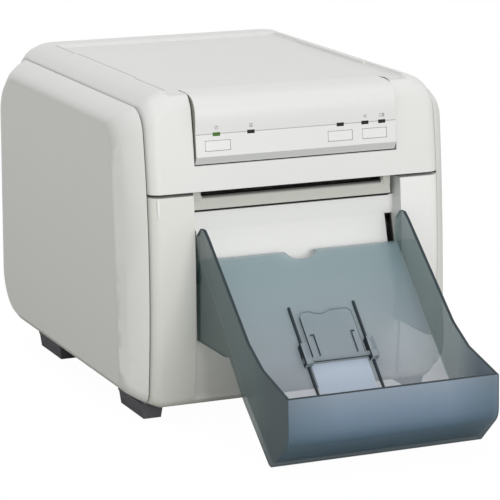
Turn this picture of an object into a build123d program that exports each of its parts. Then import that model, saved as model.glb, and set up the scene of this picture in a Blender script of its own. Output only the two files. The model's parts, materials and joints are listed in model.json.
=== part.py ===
from build123d import *
import math
import os

# Photo printer with a pull-out front drawer and a lift-off print tray.
# Millimetres. X points right, Y to the back and Z up.
# Heights count from the table. Depths count from the front plane of the body
# until a piece is written, when the origin goes to the middle of the footprint.

# Body size
half_width = 140.0
roof_z = 255.0
underside_z = 12.5
wall = 2.6
seam_gap = 0.8

# Room inside from front to rear
platen_y = 78.0
supply_behind_platen = 40.0
paper_behind_supply = 74.0
paper_radius = 50.0
paper_clear = 7.0
rear_bay = 63.0
supply_y = platen_y + supply_behind_platen
paper_y = supply_y + paper_behind_supply
drawer_rear_y = paper_y + paper_radius + paper_clear
rear_y = drawer_rear_y + rear_bay

# Bowed front face
bow_y = -5.5
bow_z = 95.0
bow_radius = 735.0

# Middle form between the side seams
dome_width = 18.0
seam_x = half_width - dome_width
corner_radius = 9.5
corner_turn = 72.0
shoulder_width = 25.0
shoulder_start = seam_x - shoulder_width
shoulder_radius = 31.0
seam_floor_rise = 3.5

# Corners of the side outline
front_top_radius = 20.0
rear_top_radius = 31.0
rear_bottom_radius = 34.0
front_bottom_radius = 9.0

# Domed side panels: how far the flat face lies inside the seam outline
face_in_front = (15.0, 27.0, 23.0)
face_in_top = 14.3
face_in_rear = 9.5
face_in_bottom = 12.0
dome_bulge = 0.42

# Heights of the front, from the roof down
panel_height = 55.4
band_height = 20.1
grip_gap = 2.5
slot_drop = 3.0
guide_height = 10.4
lip_gap = 1.6
panel_bottom_z = roof_z - panel_height
band_bottom_z = panel_bottom_z - band_height
drawer_top_z = band_bottom_z - grip_gap
slot_floor_z = drawer_top_z - slot_drop
guide_bottom_z = slot_floor_z - guide_height
recess_top_z = guide_bottom_z - lip_gap

# Front openings
recess_half_width = 87.0
drawer_front_depth = 19.0
guide_half_width = 83.4
slot_half_width = 73.4

# Control panel
panel_half_width = 84.0
panel_proud = 2.8
panel_back_y = 36.0
panel_gap = 1.0
panel_chin = 6.0
crease_drop = 32.5
crease_z = roof_z - crease_drop
button_size = (20.4, 7.4)
button_z = crease_z - 8.9
button_x = (-66.0, 36.2, 65.6)
button_travel = 1.2
button_gap = 0.3
collar_step = 1.4
collar_thickness = 1.2
lamp_z = crease_z - 0.3
lamp_size = (6.2, 2.8)
lamp_x = (-66.9, -38.5, 36.5, 57.6, 72.1)

# Top recess between the rails
recess_depth = 3.0
recess_half_x = shoulder_start + 1.0
recess_front_y = 24.0
recess_rear_y = rear_y - 47.0
recess_end_step = 1.5
recess_ends = (88.0, rear_y - 95.0)

# Feet
foot_length = 52.0
foot_width = 18.0
foot_centre_x = seam_x - 9.0
foot_centres_y = (45.0, rear_y - 80.0)

# Frame and slides
frame_x = seam_x - 10.0
sheet = 1.5
frame_front_y = 24.0
frame_rear_y = rear_y - 12.0
frame_top_z = roof_z - 19.0
slide_z = 45.0
slide_height = 40.0
slide_front_y = 30.0
slide_length = 210.0
slide_gap = 0.4
slide_sheet = 1.2
slide_width = 12.7
drawer_plate_x = frame_x - slide_width - sheet
drawer_bottom_z = 22.0
running = 0.05

# Drawer works: each place is (Y, Z)
platen_at = (platen_y, slot_floor_z - 22.0)
platen_radius = 9.0
capstan_at = (platen_y - 24.0, slot_floor_z - 19.0)
capstan_radius = 6.0
take_up_at = (platen_y - 32.0, slot_floor_z - 44.0)
supply_at = (supply_y, slot_floor_z - 40.0)
paper_width = 127.0
paper_core_radius = 25.0
paper_above_floor = 12.5
paper_at = (paper_y, drawer_bottom_z + sheet + paper_above_floor + paper_radius)
ribbon_width = 131.0
spool_core_radius = 10.0
supply_radius = 23.0
take_up_radius = 13.0
flange_thickness = 2.5
shaft_radius = 4.0
spool_shaft_radius = 5.0
paper_shaft_radius = 8.0
roller_half = paper_width / 2 + 2.5
motor_size = 35.0
motor_length = 24.0

# Gears
gear_module = 1.5
gear_width = 6.0
gear_x = frame_x - 7.5
pressure_angle = 20.0
backlash = 0.16
mesh_gap = 0.08
capstan_teeth = 18
idler_teeth = 22
pinion_teeth = 12
take_up_teeth = 26

# Head above the platen
head_pivot = (platen_y + 92.0, slot_floor_z + 22.0)
head_bottom_z = platen_at[1] + platen_radius + 5.5
head_half_width = ribbon_width / 2 + 2.5
arm_x = head_half_width + 20.0
head_arm_sheet = 2.0
pivot_radius = 4.0

# Pinch roller and cutter
nip_gap = 0.4
pinch_radius = 5.0
pinch_half = roller_half + 6.0
blade_y = 36.0
blade_top_z = slot_floor_z - 6.8
blade_thickness = 3.2
cutter_clear = 18.0
cutter_reach = paper_width / 2 + cutter_clear
cutter_rod_z = slot_floor_z + 19.0
cutter_rod_radius = 3.0
cutter_block = (24.0, 18.0)
blade_axle_z = blade_top_z + 6.3
blade_axle_radius = 2.0
round_blade_radius = 9.0

# Print tray
tray_half_width = 85.2
tray_wall = 2.4
tray_gap = 0.4
tray_path = ((-5.8, recess_top_z - 36.7), (-89.0, 41.5), (-139.5, 2.0), (-168.4, 30.0), (-167.0, 61.6))
tray_bends = (40.0, 7.0, 14.0)
gusset_z = 65.0
gusset_front_y = -64.0
ear_z = recess_top_z - 8.8
notch_width = 25.0
notch_depth = 5.0
hook_slot_x = (80.0, 86.6)
hook_slot_z = (recess_top_z - 54.5, recess_top_z - 15.0)
hook_top_z = recess_top_z - 44.0
hook_nose = (3.6, 6.6)
hook_nose_z = recess_top_z - 59.2

# Stopper flap, placed down the slope from the floor's top edge
flap_hinge_s = 95.0
flap_length = 41.0
flap_half_width = 21.7
flap_thickness = 1.8
flap_lift = 2.6
pin_radius = 2.2
channel_half_width = 27.0
rib_width = 1.6
rib_height = 2.0

# Shared helpers

far = 400.0

def write(name, shape):
    """One STEP file for one named piece, set on the middle of the footprint."""
    os.makedirs("parts", exist_ok=True)
    export_step(Pos(0, -origin_y, 0) * shape, "parts/" + name + ".step")


def block(x, y, z):
    """A box between pairs of coordinates."""
    size = (x[1] - x[0], y[1] - y[0], z[1] - z[0])
    centre = ((x[0] + x[1]) / 2, (y[0] + y[1]) / 2, (z[0] + z[1]) / 2)
    return Pos(*centre) * Box(*size)


def profile(points, x_low, x_high):
    """A solid of one Y-Z outline between two values of X."""
    face = make_face(Polyline(*points, close=True))
    return extrude(Plane.YZ.offset(x_low) * face, amount=x_high - x_low)


def rod(place, radius, x_low, x_high):
    """A round bar along X at one (Y, Z) place."""
    centre = ((x_low + x_high) / 2, place[0], place[1])
    return Pos(*centre) * Rot(0, 90, 0) * Cylinder(radius, x_high - x_low)


def peg(x, z, radius, y_low, y_high):
    """A round bar along Y."""
    return Pos(x, (y_low + y_high) / 2, z) * Rot(90, 0, 0) * Cylinder(radius, y_high - y_low)


def pair(shape):
    """A piece of the right side and its mirror image on the left."""
    return Compound(children=[shape, mirror(shape, about=Plane.YZ)])


# Body skin

def front_y(z):
    """Y of the bowed front face at one height."""
    return bow_y + (z - bow_z) ** 2 / (2 * bow_radius)


def outline(x, set_back, roof, rear, floor, inner=0.0):
    """Closed side outline of the skin on the plane at X = x."""
    low, high = floor + inner, roof - inner
    middle = (low + high) / 2
    foot, waist, brow = (front_y(z) + s + inner for z, s in zip((low, middle, high), set_back))
    back = rear - inner
    edges = [
        ThreePointArc((foot, low), (waist, middle), (brow, high)),
        Line((brow, high), (back, high)),
        Line((back, high), (back, low)),
        Line((back, low), (foot, low)),
    ]
    face = make_face(Curve() + edges)
    radii = (
        ((foot, low), front_bottom_radius),
        ((brow, high), front_top_radius),
        ((back, high), rear_top_radius),
        ((back, low), rear_bottom_radius),
    )
    for (y, z), radius in radii:
        corner = face.vertices().sort_by_distance((y, z, 0))[0]
        face = fillet(corner, radius - inner)
    return Plane.YZ.offset(x) * face


corner_run = corner_radius * math.sin(math.radians(corner_turn))
flat_front_x = seam_x - corner_run


def corner_back(x):
    """How far the rounded corner has drawn in at one value of X."""
    turn = max(0.0, x - flat_front_x)
    return corner_radius - math.sqrt(corner_radius ** 2 - turn ** 2)


def shoulder_drop(x):
    """How far the rounded shoulder has dropped at one value of X."""
    return shoulder_radius - math.sqrt(shoulder_radius ** 2 - max(0.0, x - shoulder_start) ** 2)


def middle_outline(x, inner=0.0):
    """Outline of the middle form, drawn in towards the seam."""
    back = corner_back(x)
    rise = seam_floor_rise * max(0.0, x - flat_front_x) / corner_run
    return outline(x, (back, back, back), roof_z - shoulder_drop(x), rear_y - back, underside_z + rise, inner)


def middle_form(inner=0.0):
    """Solid between the two seams."""
    turns = (0.0, corner_turn) if inner else (0.0, 24.0, 48.0, corner_turn)
    stations = [shoulder_start] + [flat_front_x + corner_radius * math.sin(math.radians(a)) for a in turns]
    if not inner:
        stations.insert(1, (shoulder_start + flat_front_x) / 2)
    corner = loft([middle_outline(x, inner) for x in stations], ruled=True)
    centre = extrude(middle_outline(-shoulder_start, inner), amount=2 * shoulder_start)
    return centre + corner + mirror(corner, about=Plane.YZ)


dome_steps = (0.0, 0.25, 0.6, 1.06)


def side_form(inner=0.0):
    """Solid of one domed side, from its seam to the flat face."""
    sections = []
    for t in (dome_steps[0], dome_steps[-1]) if inner else dome_steps:
        out = min(1.0, t + dome_bulge * t * (1 - t))
        share = t - dome_bulge / 2 * t * (1 - t)
        x = seam_x + (dome_width - inner) * out
        back = tuple(corner_back(seam_x) + share * reach for reach in face_in_front)
        roof = roof_z - shoulder_drop(seam_x) - share * face_in_top
        rear = rear_y - corner_back(seam_x) - share * face_in_rear
        floor = underside_z + seam_floor_rise + share * face_in_bottom
        sections.append(outline(x, back, roof, rear, floor, inner))
    return loft(sections, ruled=True)


middle_skin = middle_form() - middle_form(wall)


def above(z, shape):
    """The part of a shape above one height."""
    return shape - block((-far, far), (-far, far), (-far, z))


def below(z, shape):
    """The part of a shape below one height."""
    return shape - block((-far, far), (-far, far), (z, far))


def in_front_of(y, shape):
    """The part of a shape in front of one depth."""
    return shape - block((-far, far), (y, far), (-far, far))


def between_seams(shape):
    """Trims the middle skin to leave half the seam gap on each side."""
    edge = seam_x - seam_gap / 2
    return shape - block((edge, far), (-far, far), (-far, far)) - block((-far, -edge), (-far, far), (-far, far))


# Control panel: a hood that stands proud of the case

panel_face_y = front_y(crease_z) - panel_proud
panel_curve = (
    (panel_back_y, roof_z - recess_depth),
    (24.0, roof_z - 6.2),
    (12.0, roof_z - 14.5),
    (panel_face_y, crease_z),
)
chin_y = front_y(panel_bottom_z + panel_chin) - panel_proud + 0.6


def panel_outline(inner=0.0):
    """Y-Z outline of the hood, or of the space behind its wall."""
    top, brow, nose, crease = [(y + inner, z - inner * 0.6) for y, z in panel_curve]
    face_low = (chin_y + inner, panel_bottom_z + panel_chin)
    low = panel_bottom_z - inner
    back = [(12.0 + inner * 3, low), (17.0 + inner * 3, crease_z + 3.5), (panel_back_y + inner, roof_z - 12.0)]
    crown = ThreePointArc(top, brow, nose)
    fall = TangentArc(nose, crease, tangent=crown % 1)
    sides = Polyline(crease, face_low, (chin_y + 3.0 + inner, low), *back, top)
    return make_face(Curve() + [crown, fall] + list(sides.edges()))


def panel_inside_y(z):
    """Y of the flat front wall's inner face at one height below the crease."""
    (crease_y, top), low = panel_curve[-1], panel_bottom_z + panel_chin
    return wall + chin_y + (crease_y - chin_y) * (z - low) / (top - wall * 0.6 - low)


def hood(half_x, inner=0.0):
    """Solid of the hood outline between two mirrored values of X."""
    return extrude(Plane.YZ.offset(-half_x) * panel_outline(inner), amount=2 * half_x)


board_y = panel_face_y + 11.24


def lamp_block(x, grow=0.0, back=board_y - 2.8):
    """Space of one lamp lens, from in front of the face to the lamp."""
    half_w, half_h = lamp_size[0] / 2 + grow, lamp_size[1] / 2 + grow
    return block((x - half_w, x + half_w), (-5.0, back), (lamp_z - half_h, lamp_z + half_h))


def button_block(x, grow=0.0, back=panel_face_y + 5.24):
    """Space of one button cap."""
    half_w, half_h = button_size[0] / 2 + grow, button_size[1] / 2 + grow
    return block((x - half_w, x + half_w), (-6.0, back), (button_z - half_h, button_z + half_h))


solid_hood = hood(panel_half_width)


def control_panel():
    """Hood with its button holes, lamp holes and board posts."""
    shell = solid_hood - hood(panel_half_width - wall, wall)
    for x in button_x:
        shell -= button_block(x, button_gap)
    for x in lamp_x:
        shell -= lamp_block(x)
    for x in (-76.0, -20.0, 20.0, 76.0):
        z = panel_board_z[0] + 2.0
        shell += block((x - 2.0, x + 2.0), (front_y(z) + 1.5, board_y), (z - 2.0, z + 2.0))
    return shell


def lamp_lens(x):
    """A clear bar that carries the light of one lamp to the face."""
    return lamp_block(x) & solid_hood


panel_board_z = (panel_bottom_z + 3.4, crease_z + 4.5)
switch_size = 6.0
switch_height = 4.3


def push_button(x):
    """Cap flush with the face, a collar behind the wall and a stem."""
    collar_w, collar_h = button_size[0] / 2 + collar_step, button_size[1] / 2 + collar_step
    inside_y = panel_inside_y(button_z + collar_h) + button_gap
    cap = button_block(x, 0.0, inside_y + 0.8) & solid_hood
    depth = (inside_y, inside_y + collar_thickness)
    collar = block((x - collar_w, x + collar_w), depth, (button_z - collar_h, button_z + collar_h))
    stem_end = board_y - switch_height - button_travel - button_gap
    stem = block((x - 2.0, x + 2.0), (inside_y, stem_end), (button_z - 2.0, button_z + 2.0))
    return cap + collar + stem


def panel_board():
    """Board behind the panel with three switches and five lamps."""
    board = block((-79.0, 79.0), (board_y, board_y + board_thickness), panel_board_z)
    half = switch_size / 2
    for x in button_x:
        depth = (board_y - switch_height, board_y)
        board += block((x - half, x + half), depth, (button_z - half, button_z + half))
    for x in lamp_x:
        board += block((x - 1.6, x + 1.6), (board_y - 2.5, board_y), (lamp_z - 1.0, lamp_z + 1.0))
    return board


# Top cover: rails, shallow recess and the frame round the control panel

rear_split_z = roof_z - rear_top_radius


def top_cover():
    """One moulding from the band above the slot, over the top, to the rear."""
    low_rear = block((-far, far), (rear_y / 2, far), (0.0, rear_split_z))
    shell = between_seams(above(band_bottom_z, middle_skin) - low_rear)
    floor_z = roof_z - recess_depth
    plate_x = recess_half_x + recess_end_step + wall
    shell += block((-plate_x, plate_x), (recess_front_y, recess_rear_y + wall), (floor_z - wall, roof_z - wall))
    shell -= block((-recess_half_x, recess_half_x), (-far, recess_rear_y), (floor_z, far))
    wide = recess_half_x + recess_end_step
    for y_low, y_high in ((-far, recess_ends[0]), (recess_ends[1], recess_rear_y)):
        shell -= block((-wide, wide), (y_low, y_high), (floor_z + 0.9, far))
    for x in (-60.0, 0.0, 60.0):
        shell += block((x - 1.0, x + 1.0), (60.0, recess_rear_y - 15.0), (floor_z - wall - 5.0, floor_z - wall))
    opening = panel_half_width + panel_gap
    shell -= block((-opening, opening), (-far, panel_back_y + 0.1), (panel_bottom_z - 0.8, far))
    return shell


# Drawer front with its recess and the slots for the tray's hooks

recess_face = (
    (12.0, recess_top_z),
    (11.5, recess_top_z - 16.0),
    (5.3, recess_top_z - 36.0),
    (0.0, recess_top_z - 46.0),
    (front_y(gusset_z) + 2.5, gusset_z),
    (front_y(40.0) + 2.5, 40.0),
    (front_y(22.0) + 2.5, 22.0),
    (front_y(14.0) - 1.0, 14.0),
)


def recess_space(grow=0.0):
    """Space in front of the recessed face, and all of it above its top edge."""
    face = [(y + grow, z - grow * 0.4) for y, z in recess_face]
    top = recess_face[0][1] - grow * 0.4
    points = [(60.0, far), (60.0, top)] + face + [(-40.0, face[-1][1]), (-40.0, far)]
    return profile(points, -recess_half_width - grow, recess_half_width + grow)


rib_x = drawer_plate_x + sheet


def drawer_front():
    """Front moulding that the user pulls, open at the back and ribbed inside."""
    whole = in_front_of(drawer_front_depth, below(drawer_top_z, between_seams(middle_form())))
    hollow = below(drawer_top_z - wall, middle_form(wall))
    shell = whole - hollow + (recess_space(wall) & whole)
    for side in (-1, 1):
        rib_width = sorted((side * rib_x, side * (rib_x + wall)))
        rib = block(rib_width, (-20.0, drawer_front_depth), (18.0, drawer_top_z - 5.0))
        shell += rib & whole
    for z in (40.0, 70.0, 96.0):
        bar = block((-recess_half_width, recess_half_width), (0.0, 12.0), (z, z + 2.0))
        shell += bar & whole
    shell -= recess_space()
    for side in (-1, 1):
        shell -= block(sorted(side * x for x in hook_slot_x), (-20.0, 30.0), hook_slot_z)
    return shell


# Exit guide below the band

def exit_guide():
    """Lip, bell-mouthed cheeks and upper beam that lead the print out."""
    z = guide_bottom_z
    lip = [(8.5, z), (10.0, slot_floor_z), (34.0, slot_floor_z - 3.0), (34.0, slot_floor_z - 6.0), (13.0, z)]
    body = profile(lip, -guide_half_width, guide_half_width)
    for side in (-1, 1):
        mouth = [
            (side * guide_half_width, 9.3),
            (side * guide_half_width, 34.0),
            (side * (slot_half_width + 3.5), 34.0),
            (side * slot_half_width, 22.0),
            (side * (slot_half_width + 1.5), 13.0),
            (side * (slot_half_width + 4.0), 9.3),
        ]
        face = make_face(Polyline(*mouth, close=True))
        low = slot_floor_z - 4.0
        body += extrude(Plane.XY.offset(low) * face, amount=band_bottom_z - 0.3 - low)
    z = band_bottom_z
    roof = [(22.0, z - 0.3), (22.0, z + 2.5), (26.0, z + 4.5), (34.0, z + 4.5), (34.0, z - 3.0)]
    body += profile(roof, -guide_half_width, guide_half_width)
    return body + block((-frame_x, frame_x), (26.0, 34.0), (z + 0.5, z + 4.5))


# Side panels, rear panel, base and feet

def side_panel():
    """Domed dish on the right, with four posts that reach the frame."""
    shell = side_form() - side_form(wall)
    shell -= block((0.0, seam_x + seam_gap / 2), (-far, far), (-far, far))
    for y in (60.0, rear_y - 62.0):
        for z in (60.0, roof_z - 50.0):
            shell += block((frame_x + sheet, half_width - wall + 0.6), (y - 4.0, y + 4.0), (z - 4.0, z + 4.0))
    return shell


rear_bottom_y = rear_y - rear_bottom_radius - 2.0
base_half_width = seam_x - 2.0
fan_at = (-62.0, roof_z - 65.0)
fan_radius = 27.0
fan_slot_pitch = 5.8
fan_slot_height = 3.4
inlet_at = (78.0, 62.0)
inlet_size = (27.0, 20.0)
board_thickness = 1.6
shelf_z = roof_z - 55.0
shelf_y = (head_pivot[0] + 16.0, rear_y - 23.0)
board_gap = 5.0
board_rear_y = rear_y - 28.0
board_top_z = shelf_z + sheet + board_gap + board_thickness
data_size = (12.0, 11.0)
data_at = (30.0, board_top_z + data_size[1] / 2)
screw_head_height = 2.0
screw_head_radius = 3.6
screw_radius = 1.5
screw_sides = 12
screw_places = [(x, z) for x in (-seam_x + 18.0, seam_x - 18.0) for z in (90.0, roof_z - 45.0)]


def round_bar(at, radius, y_low, y_high, sides=32):
    """A many-sided bar along Y at one (X, Z) place, for small and repeated rounds."""
    face = Plane.XZ.offset(-y_low) * Pos(*at) * RegularPolygon(radius, sides)
    return extrude(face, amount=-(y_high - y_low))


def screw_bar(at, radius, y_low, y_high):
    """A screw's head, shank or hole."""
    return round_bar(at, radius, y_low, y_high, screw_sides)


def rear_panel():
    """Rear moulding with slots over the fan and its two socket holes."""
    shell = between_seams(below(rear_split_z - seam_gap, middle_skin))
    shell -= block((-far, far), (-far, rear_bottom_y), (-far, far))
    x, z = fan_at
    for row in range(-4, 5):
        reach = math.sqrt(fan_radius ** 2 - (row * fan_slot_pitch) ** 2)
        depth = (rear_y - 12.0, rear_y + 5.0)
        middle = z + row * fan_slot_pitch
        height = (middle - fan_slot_height / 2, middle + fan_slot_height / 2)
        shell -= block((x - reach, x + reach), depth, height)
    for (cx, cz), (w, h) in ((inlet_at, inlet_size), (data_at, data_size)):
        shell -= block((cx - w / 2, cx + w / 2), (rear_y - 12.0, rear_y + 5.0), (cz - h / 2, cz + h / 2))
    for at in screw_places:
        shell -= screw_bar(at, screw_radius, rear_y - 2 * wall, rear_y + 1.0)
    return shell


def base_pan():
    """Folded steel pan with its side flanges turned up and rows of slots."""
    half = base_half_width
    depth = (drawer_front_depth + 1.0, rear_bottom_y - 0.5)
    pan = block((-half, half), depth, (underside_z, underside_z + sheet))
    for side in (-1, 1):
        x = sorted((side * half, side * (half - sheet)))
        pan += block(x, depth, (underside_z, underside_z + 5.0))
    for y in (110.0, 128.0, 146.0):
        for x in (-60.0, -20.0, 20.0, 60.0):
            pan -= block((x - 14.0, x + 14.0), (y - 2.5, y + 2.5), (underside_z - 1.0, underside_z + 3.0))
    return pan


def foot(x, y):
    """Tapered rubber block with a lip against the pan."""
    top = underside_z
    lip = Pos(x, y, top - 1.0) * Box(foot_width, foot_length, 2.0)
    taper = Plane.XY.offset(top - 2.0) * Pos(x, y) * Rectangle(foot_width - 1.0, foot_length - 1.0)
    return lip + extrude(taper, amount=-(top - 2.0), taper=7.0)


# Frame

def frame_plate():
    """Right side plate with its windows and bearing holes."""
    front, rear, low, high = frame_front_y, frame_rear_y, underside_z + sheet, frame_top_z
    points = [
        (front, low),
        (rear_bottom_y - 2.0, low),
        (rear, low + 34.0),
        (rear, high - 12.0),
        (rear - 12.0, high),
        (front + 14.0, high),
        (front, high - 30.0),
    ]
    plate = profile(points, frame_x, frame_x + sheet)
    for y in (110.0, 160.0, 210.0):
        plate -= block((frame_x - 1, frame_x + 3), (y - 18, y + 18), (104.0, 148.0))
    for y in (110.0, 160.0, 210.0):
        plate -= block((frame_x - 1, frame_x + 3), (y - 14, y + 14), (high - 14.0, high - 8.0))
    return plate


cutter_rod_y = blade_y + 5.0
bridge_y = blade_y + 11.0
leg_x = (86.0, 94.0)
blade_bottom_z = blade_top_z - blade_thickness
bridge_bottom_z = slot_floor_z + 2.0
bridge_top_z = slot_floor_z + 34.0


def front_bridge():
    """Cross plate behind the cutter with two legs that carry the fixed blade."""
    plate = block((-frame_x, frame_x), (bridge_y, bridge_y + sheet), (bridge_bottom_z, bridge_top_z))
    for side in (-1, 1):
        leg = sorted(side * x for x in leg_x)
        plate += block(leg, (bridge_y, bridge_y + sheet), (blade_bottom_z, bridge_bottom_z))
    return plate


def fixed_blade():
    """Straight blade below the paper with a bevelled edge."""
    edge = blade_y + 0.2
    points = [
        (edge, blade_bottom_z),
        (edge, blade_top_z),
        (edge + 3.0, blade_top_z),
        (bridge_y, blade_top_z - 1.6),
        (bridge_y, blade_bottom_z),
    ]
    return profile(points, -leg_x[1], leg_x[1])


def cutter_carriage():
    """Block on the rod with the arm that holds the round blade."""
    width, height = cutter_block
    x, half = -cutter_reach, width / 2
    low = cutter_rod_z - height / 2
    body = block((x - half, x + half), (blade_y + 0.3, bridge_y - 0.4), (low, low + height))
    body += block((x - 6.0, x + 6.0), (blade_y + 0.3, blade_y + 2.3), (blade_axle_z - 4.5, low + 1.0))
    body -= rod((cutter_rod_y, cutter_rod_z), cutter_rod_radius + running, x - half - 1, x + half + 1)
    return body - peg(x, blade_axle_z, blade_axle_radius + running, blade_y, blade_y + 3.0)


def round_blade():
    """Disc on its axle that shears the paper against the fixed blade."""
    disc = round_bar((-cutter_reach, blade_axle_z), round_blade_radius, blade_y - 0.8, blade_y, 36)
    return disc + peg(-cutter_reach, blade_axle_z, blade_axle_radius, blade_y, blade_y + 2.6)


pinch_at = (capstan_at[0], capstan_at[1] + capstan_radius + nip_gap + pinch_radius)
pinch_shaft_radius = 2.5


def pinch_bracket():
    """Inverted channel behind the bridge with open slots for the pinch roller."""
    y, z = pinch_at
    depth, low = (bridge_y + sheet, y + 6.0), bridge_bottom_z
    top = block((-pinch_half, pinch_half), depth, (low, low + 2.0))
    for side in (-1, 1):
        x = sorted((side * pinch_half, side * (pinch_half - 2.0)))
        top += block(x, depth, (z - 4.6, low))
    r = pinch_shaft_radius + running
    return top - rod(pinch_at, r, -far, far) - block((-far, far), (y - r, y + r), (z - 10.0, z))


def pinch_roller():
    """Free rubber roller above the driven one."""
    roller = rod(pinch_at, pinch_radius, -roller_half, roller_half)
    return roller + rod(pinch_at, pinch_shaft_radius, -pinch_half, pinch_half)


# Drawer slides: three nested channels on each side

def channel(depth_in, depth_out, height, open_inwards, y_low, y_high):
    """A folded channel of the right slide between two depths from the frame."""
    x_out = frame_x - depth_out
    x_in = frame_x - depth_in
    low, high = slide_z - height / 2, slide_z + height / 2
    t = slide_sheet
    body = block((x_in, x_out), (y_low, y_high), (low, high))
    if open_inwards:
        return body - block((x_in - 1, x_out - t), (y_low - 1, y_high + 1), (low + t, high - t))
    return body - block((x_in + t, x_out + 1), (y_low - 1, y_high + 1), (low + t, high - t))


slide_rear_y = slide_front_y + slide_length
slide_step = slide_sheet + slide_gap


def slide_outer():
    """Channel fixed to the frame."""
    return channel(slide_width - 3.0, 0.0, slide_height, True, slide_front_y, slide_rear_y)


def slide_middle():
    """Channel that travels half the way."""
    height = slide_height - 2 * slide_step
    return channel(slide_width - 3.0, slide_step, height, True, slide_front_y, slide_rear_y)


def slide_inner():
    """Channel fixed to the drawer plate."""
    height = slide_height - 4 * slide_step
    return channel(slide_width, 2 * slide_step, height, False, slide_front_y, slide_rear_y)


# Drawer frame and its works

bush_half = 6.0
boss_radius = 4.5
motor_shaft_radius = 2.0


def along(place, distance, degrees):
    """The place at a distance and an angle from another, in the Y-Z plane."""
    turn = math.radians(degrees)
    return (place[0] + distance * math.cos(turn), place[1] + distance * math.sin(turn))


def centres(teeth_a, teeth_b):
    """Distance between two meshed gears, with a little clearance."""
    return (teeth_a + teeth_b) * gear_module / 2 + mesh_gap


idler_angle = -62.0
feed_angle = -70.0
ribbon_angle = -55.0
idler_at = along(capstan_at, centres(capstan_teeth, idler_teeth), idler_angle)
feed_motor_at = along(idler_at, centres(idler_teeth, pinion_teeth), feed_angle)
ribbon_motor_at = along(take_up_at, centres(take_up_teeth, pinion_teeth), ribbon_angle)


def drawer_plate(motor_at):
    """Right drawer plate with slots for the spools and seats for the bushes."""
    low, high = drawer_bottom_z, slot_floor_z - 11.0
    points = [
        (6.0, low),
        (drawer_rear_y, low),
        (drawer_rear_y, paper_at[1] + 6.0),
        (supply_y + 32.0, paper_at[1] + 14.0),
        (supply_y + 14.0, supply_at[1] + 12.0),
        (supply_y - 14.0, supply_at[1] + 12.0),
        (platen_y + 18.0, high),
        (22.0, high),
        (22.0, high - 23.0),
        (6.0, high - 43.0),
    ]
    plate = profile(points, drawer_plate_x, drawer_plate_x + sheet)
    for y, z in (platen_at, capstan_at):
        plate -= block((0.0, far), (y - bush_half, y + bush_half), (z - bush_half, z + bush_half))
    plate -= rod(motor_at, boss_radius, -far, far)
    spool_slots = (
        (take_up_at, spool_shaft_radius),
        (supply_at, spool_shaft_radius),
        (paper_at, paper_shaft_radius),
    )
    for (y, z), radius in spool_slots:
        r = radius + running
        plate -= rod((y, z), r, -far, far) + block((-far, far), (y - r, y + r), (z, z + 60.0))
    for y in (100.0, 140.0):
        plate -= block((-far, far), (y - 14.0, y + 14.0), (70.0, 86.0))
    return plate


def drawer_pan():
    """Floor of the drawer between the two plates."""
    x, low = drawer_plate_x, drawer_bottom_z
    pan = block((-x, x), (14.0, drawer_rear_y), (low, low + sheet))
    return pan + block((-x, x), (drawer_rear_y - sheet, drawer_rear_y), (low, 80.0))


def roller_bush(at, side):
    """Square flanged bush that snaps into a drawer plate."""
    (y, z), half = at, bush_half
    plate_in, plate_out = side * drawer_plate_x, side * (drawer_plate_x + sheet)
    bush = block(sorted((plate_in, plate_out)), (y - half, y + half), (z - half, z + half))
    half += 1.5
    bush += block(sorted((side * (drawer_plate_x - 1.0), plate_in)), (y - half, y + half), (z - half, z + half))
    return bush - rod(at, shaft_radius + running, -far, far)


def platen_roller():
    """Rubber roller under the head, on a steel shaft."""
    end = drawer_plate_x + sheet
    return rod(platen_at, platen_radius, -roller_half, roller_half) + rod(platen_at, shaft_radius, -end, end)


def capstan_roller():
    """Gritted feed roller; its left end carries the gear."""
    shaft = rod(capstan_at, shaft_radius, -gear_x - gear_width / 2 - 1.0, drawer_plate_x + sheet)
    return rod(capstan_at, capstan_radius, -roller_half, roller_half) + shaft


# Gears

def gear_outline(teeth):
    """Closed outline of a spur gear with each flank laid between two points of its involute."""
    pitch = teeth * gear_module / 2
    base = pitch * math.cos(math.radians(pressure_angle))
    tip = pitch + 0.9 * gear_module
    root = pitch - 1.2 * gear_module
    lead = math.tan(math.radians(pressure_angle)) - math.radians(pressure_angle)
    half_pitch = math.pi / (2 * teeth) - backlash / (2 * pitch)
    points = []
    for tooth in range(teeth):
        flank = []
        for radius in (max(base, root), tip):
            turn = math.acos(min(1.0, base / radius))
            flank.append((radius, half_pitch + lead - (math.tan(turn) - turn)))
        if root < base - 0.5:
            flank.insert(0, (root, flank[0][1]))
        for radius, half in flank:
            points.append((radius, tooth * 2 * math.pi / teeth - half))
        for radius, half in reversed(flank):
            points.append((radius, tooth * 2 * math.pi / teeth + half))
    return [(radius * math.cos(turn), radius * math.sin(turn)) for radius, turn in points]


def gear(at, teeth, first_tooth, bore, side):
    """Spur gear on a drawer plate's outer side, with one tooth at a given angle."""
    points = gear_outline(teeth)
    face = Rot(0, 0, first_tooth) * make_face(Polyline(*points, close=True))
    low = side * gear_x - gear_width / 2
    wheel = extrude(Plane.YZ.offset(low) * Pos(*at) * face, amount=gear_width)
    return wheel - rod(at, bore, -far, far) if bore else wheel


def facing_gap(teeth, degrees):
    """Angle of the tooth beside a gap that faces one direction."""
    return degrees + 180.0 / teeth


idler_turn = facing_gap(idler_teeth, idler_angle + 180.0)


def tooth_offset(turn, teeth, degrees):
    """How far the nearest tooth lies past one direction."""
    step = 360.0 / teeth
    return (turn - degrees + step / 2) % step - step / 2


def mating_turn(turn, teeth, other_teeth, degrees):
    """Turn of a second gear that puts its gap on the first gear's tooth."""
    offset = tooth_offset(turn, teeth, degrees)
    return facing_gap(other_teeth, degrees + 180.0) - offset * teeth / other_teeth


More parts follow.
